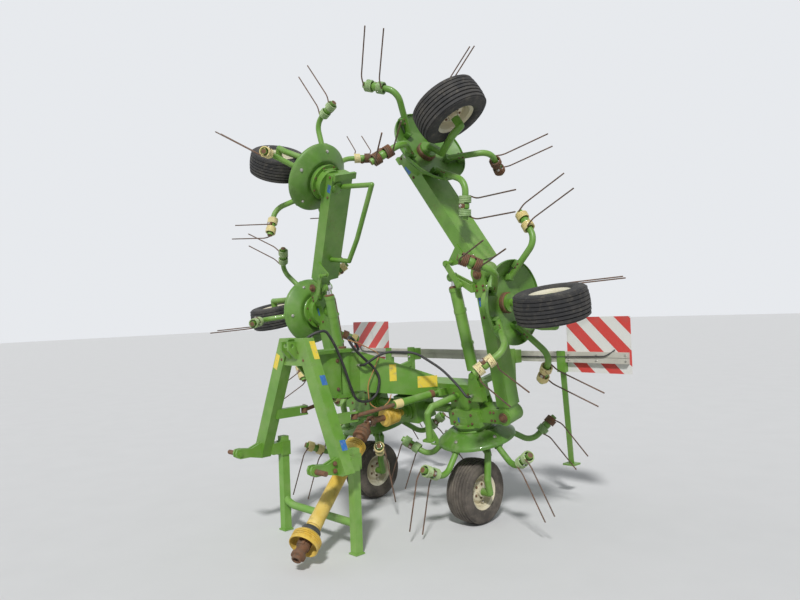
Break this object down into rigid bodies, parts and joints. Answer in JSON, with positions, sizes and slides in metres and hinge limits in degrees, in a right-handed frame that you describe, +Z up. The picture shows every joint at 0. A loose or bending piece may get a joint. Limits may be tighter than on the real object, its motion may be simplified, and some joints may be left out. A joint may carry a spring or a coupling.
{
  "type": "mounted six-rotor hay tedder",
  "caption": "Mounted rotary hay tedder parked folded: tined rotors on hinged wings, small tyres, linkage headstock on a stand, drive shaft and rear light rack",
  "frame": {"origin": "on the ground under the middle of the outline, halfway between the tips of the drive shaft and of the rack's feet", "axes": "+X to the machine's left, +Y to its rear, +Z up; it travels along -Y"},
  "size_m": [3.02, 2.2598, 3.1326],
  "materials": {
    "green_paint": "semi-gloss green paint, weathered",
    "cream_paint": "cream paint on the rims, dusty",
    "yellow_guard": "yellow guard plastic, scuffed",
    "tyre": "ribbed implement tyre",
    "rod_steel": "polished piston rod",
    "rusty_steel": "rusty bare steel",
    "hose_rubber": "black hose",
    "bar_metal": "dull galvanised profile",
    "board_face": "red and white warning stripes",
    "lamp_lens": "red lamp"
  },
  "bodies": {
    "frame": {"center_beam": "green_paint", "boom": "green_paint", "main_gearbox": "green_paint", "drive_shaft": "yellow_guard", "rotor_guards": "green_paint", "hoses": "hose_rubber", "rack_frame": "green_paint", "rack_bar": "bar_metal", "warning_boards": "board_face", "rack_lamps": "lamp_lens", "wheel_leg_left_1": "green_paint", "wheel_leg_right_1": "green_paint"},
    "headstock": {"headstock": "green_paint"},
    "stand": {"stand": "green_paint"},
    "pto_guard": {"pto_guard": "yellow_guard"},
    "pto_inner": {"pto_inner": "yellow_guard"},
    "damper_left": {"damper_left": "green_paint"},
    "damper_rod_left": {"damper_rod_left": "rusty_steel"},
    "damper_right": {"damper_right": "green_paint"},
    "damper_rod_right": {"damper_rod_right": "rusty_steel"},
    "wing_inner_left": {"wing_inner_left": "green_paint", "wheel_leg_left_2": "green_paint"},
    "wing_outer_left": {"wing_outer_left": "green_paint", "wheel_leg_left_3": "green_paint"},
    "fold_cylinder_left": {"fold_cylinder_left": "green_paint"},
    "fold_rod_left": {"fold_rod_left": "rod_steel"},
    "fold_link_left": {"fold_link_left": "green_paint"},
    "wing_inner_right": {"wing_inner_right": "green_paint", "wheel_leg_right_2": "green_paint"},
    "wing_outer_right": {"wing_outer_right": "green_paint", "wheel_leg_right_3": "green_paint"},
    "fold_cylinder_right": {"fold_cylinder_right": "green_paint"},
    "fold_rod_right": {"fold_rod_right": "rod_steel"},
    "fold_link_right": {"fold_link_right": "green_paint"},
    "rotor_left_1": {"rotor_left_1": "green_paint"},
    "wheel_left_1": {"tyre_left_1": "tyre", "rim_left_1": "cream_paint"},
    "rotor_left_2": {"rotor_left_2": "green_paint"},
    "wheel_left_2": {"tyre_left_2": "tyre", "rim_left_2": "cream_paint"},
    "rotor_left_3": {"rotor_left_3": "green_paint"},
    "wheel_left_3": {"tyre_left_3": "tyre", "rim_left_3": "cream_paint"},
    "rotor_right_1": {"rotor_right_1": "green_paint"},
    "wheel_right_1": {"tyre_right_1": "tyre", "rim_right_1": "cream_paint"},
    "rotor_right_2": {"rotor_right_2": "green_paint"},
    "wheel_right_2": {"tyre_right_2": "tyre", "rim_right_2": "cream_paint"},
    "rotor_right_3": {"rotor_right_3": "green_paint"},
    "wheel_right_3": {"tyre_right_3": "tyre", "rim_right_3": "cream_paint"}
  },
  "joints": [
    {"name": "swivel", "type": "hinge", "parent": "frame", "child": "headstock", "pos_m": [0, -0.455, 1], "axis": [0, 0, 1], "range_deg": [-12, 12]},
    {"name": "stand_lift", "type": "slide", "parent": "headstock", "child": "stand", "axis": [0, 0, 1], "range_m": [0, 0.26]},
    {"name": "pto_lift", "type": "hinge", "parent": "frame", "child": "pto_guard", "pos_m": [0, -0.265, 0.66], "axis": [-0.905, -0.088, -0.4163], "range_deg": [0, 41.49]},
    {"name": "pto_telescope", "type": "slide", "parent": "pto_guard", "child": "pto_inner", "axis": [0.3239, -0.7769, -0.5399], "range_m": [0, 0.2]},
    {"name": "damper_turn_left", "type": "hinge", "parent": "frame", "child": "damper_left", "pos_m": [0.36, 0.035, 0.845], "axis": [0.3749, -0.195, 0.9063], "range_deg": [-1.71, 1.71]},
    {"name": "damper_slide_left", "type": "slide", "parent": "damper_left", "child": "damper_rod_left", "axis": [-0.1731, -0.9758, -0.1338], "range_m": [-0.0557, 0.0557]},
    {"name": "damper_turn_right", "type": "hinge", "parent": "frame", "child": "damper_right", "pos_m": [-0.36, 0.035, 0.845], "axis": [-0.3749, -0.195, 0.9063], "range_deg": [-1.71, 1.71]},
    {"name": "damper_slide_right", "type": "slide", "parent": "damper_right", "child": "damper_rod_right", "axis": [0.1731, -0.9758, -0.1338], "range_m": [-0.0557, 0.0557]},
    {"name": "fold_left", "type": "hinge", "parent": "frame", "child": "wing_inner_left", "pos_m": [0.803, 0.18984, 0.71804], "axis": [0, 0.9763, 0.2164], "range_deg": [0, 90]},
    {"name": "fold_outer_left", "type": "hinge", "parent": "wing_inner_left", "child": "wing_outer_left", "pos_m": [0.803, -0.00236, 1.58499], "axis": [0, 0.9763, 0.2164], "range_deg": [0, 29.01]},
    {"name": "cylinder_swing_left", "type": "hinge", "parent": "frame", "child": "fold_cylinder_left", "pos_m": [0.64, 0.0599, 0.9576], "axis": [0, 0.9763, 0.2164], "range_deg": [0, 96.41]},
    {"name": "cylinder_stroke_left", "type": "slide", "parent": "fold_cylinder_left", "child": "fold_rod_left", "axis": [-0.0432, -0.2162, 0.9754], "range_m": [0, 0.427]},
    {"name": "link_turn_left", "type": "hinge", "parent": "wing_inner_left", "child": "fold_link_left", "pos_m": [0.689, -0.10718, 1.51259], "axis": [0, 0.9763, 0.2164], "range_deg": [0, 26.2]},
    {"name": "fold_right", "type": "hinge", "parent": "frame", "child": "wing_inner_right", "pos_m": [-0.803, 0.18984, 0.71804], "axis": [0, -0.9763, -0.2164], "range_deg": [0, 90]},
    {"name": "fold_outer_right", "type": "hinge", "parent": "wing_inner_right", "child": "wing_outer_right", "pos_m": [-0.803, -0.00236, 1.58499], "axis": [0, -0.9763, -0.2164], "range_deg": [0, 29.01]},
    {"name": "cylinder_swing_right", "type": "hinge", "parent": "frame", "child": "fold_cylinder_right", "pos_m": [-0.64, 0.0599, 0.9576], "axis": [0, -0.9763, -0.2164], "range_deg": [0, 96.41]},
    {"name": "cylinder_stroke_right", "type": "slide", "parent": "fold_cylinder_right", "child": "fold_rod_right", "axis": [0.0432, -0.2162, 0.9754], "range_m": [0, 0.427]},
    {"name": "link_turn_right", "type": "hinge", "parent": "wing_inner_right", "child": "fold_link_right", "pos_m": [-0.689, -0.10718, 1.51259], "axis": [0, -0.9763, -0.2164], "range_deg": [0, 26.2]},
    {"name": "rotor_turn_left_1", "type": "hinge", "parent": "frame", "child": "rotor_left_1", "pos_m": [0.5, 0.21321, 0.6126], "axis": [0, -0.2164, 0.9763], "continuous": true},
    {"name": "wheel_turn_left_1", "type": "hinge", "parent": "frame", "child": "wheel_left_1", "pos_m": [0.5, 0.195, 0.205], "axis": [1, 0, 0], "continuous": true},
    {"name": "rotor_turn_left_2", "type": "hinge", "parent": "wing_inner_left", "child": "rotor_left_2", "pos_m": [0.911, 0.03898, 1.39852], "axis": [-1, 0, 0], "continuous": true},
    {"name": "wheel_turn_left_2", "type": "hinge", "parent": "wing_inner_left", "child": "wheel_left_2", "pos_m": [1.305, -0.06451, 1.37558], "axis": [0, -0.2164, 0.9763], "continuous": true},
    {"name": "rotor_turn_left_3", "type": "hinge", "parent": "wing_outer_left", "child": "rotor_left_3", "pos_m": [0.50525, -0.16684, 2.32691], "axis": [-0.8746, 0.1049, -0.4733], "continuous": true},
    {"name": "wheel_turn_left_3", "type": "hinge", "parent": "wing_outer_left", "child": "wheel_left_3", "pos_m": [0.84985, -0.31167, 2.49045], "axis": [-0.4848, -0.1893, 0.8539], "continuous": true},
    {"name": "rotor_turn_right_1", "type": "hinge", "parent": "frame", "child": "rotor_right_1", "pos_m": [-0.5, 0.21321, 0.6126], "axis": [0, -0.2164, 0.9763], "continuous": true},
    {"name": "wheel_turn_right_1", "type": "hinge", "parent": "frame", "child": "wheel_right_1", "pos_m": [-0.5, 0.195, 0.205], "axis": [-1, 0, 0], "continuous": true},
    {"name": "rotor_turn_right_2", "type": "hinge", "parent": "wing_inner_right", "child": "rotor_right_2", "pos_m": [-0.911, 0.03898, 1.39852], "axis": [1, 0, 0], "continuous": true},
    {"name": "wheel_turn_right_2", "type": "hinge", "parent": "wing_inner_right", "child": "wheel_right_2", "pos_m": [-1.305, -0.06451, 1.37558], "axis": [0, -0.2164, 0.9763], "continuous": true},
    {"name": "rotor_turn_right_3", "type": "hinge", "parent": "wing_outer_right", "child": "rotor_right_3", "pos_m": [-0.50525, -0.16684, 2.32691], "axis": [0.8746, 0.1049, -0.4733], "continuous": true},
    {"name": "wheel_turn_right_3", "type": "hinge", "parent": "wing_outer_right", "child": "wheel_right_3", "pos_m": [-0.84985, -0.31167, 2.49045], "axis": [0.4848, -0.1893, 0.8539], "continuous": true}
  ],
  "couplings": [
    {"joint": "pto_lift", "follows": "stand_lift", "rad_per_m": 2.7841},
    {"joint": "pto_telescope", "follows": "stand_lift", "ratio": 0.76923},
    {"joint": "damper_turn_left", "follows": "swivel", "ratio": 0.14119},
    {"joint": "damper_slide_left", "follows": "swivel", "m_per_rad": -0.26514},
    {"joint": "damper_turn_right", "follows": "swivel", "ratio": 0.14119},
    {"joint": "damper_slide_right", "follows": "swivel", "m_per_rad": 0.26514},
    {"joint": "fold_outer_left", "follows": "fold_left", "ratio": 0.32222},
    {"joint": "cylinder_swing_left", "follows": "fold_left", "ratio": 1.0711},
    {"joint": "cylinder_stroke_left", "follows": "fold_left", "m_per_rad": 0.27176},
    {"joint": "link_turn_left", "follows": "fold_left", "ratio": 0.29095},
    {"joint": "fold_outer_right", "follows": "fold_right", "ratio": 0.32222},
    {"joint": "cylinder_swing_right", "follows": "fold_right", "ratio": 1.0711},
    {"joint": "cylinder_stroke_right", "follows": "fold_right", "m_per_rad": 0.27176},
    {"joint": "link_turn_right", "follows": "fold_right", "ratio": 0.29095},
    {"joint": "rotor_turn_left_2", "follows": "rotor_turn_left_1", "ratio": -1},
    {"joint": "rotor_turn_left_3", "follows": "rotor_turn_left_1", "ratio": 1},
    {"joint": "rotor_turn_right_1", "follows": "rotor_turn_left_1", "ratio": -1},
    {"joint": "rotor_turn_right_2", "follows": "rotor_turn_left_1", "ratio": 1},
    {"joint": "rotor_turn_right_3", "follows": "rotor_turn_left_1", "ratio": -1}
  ]
}
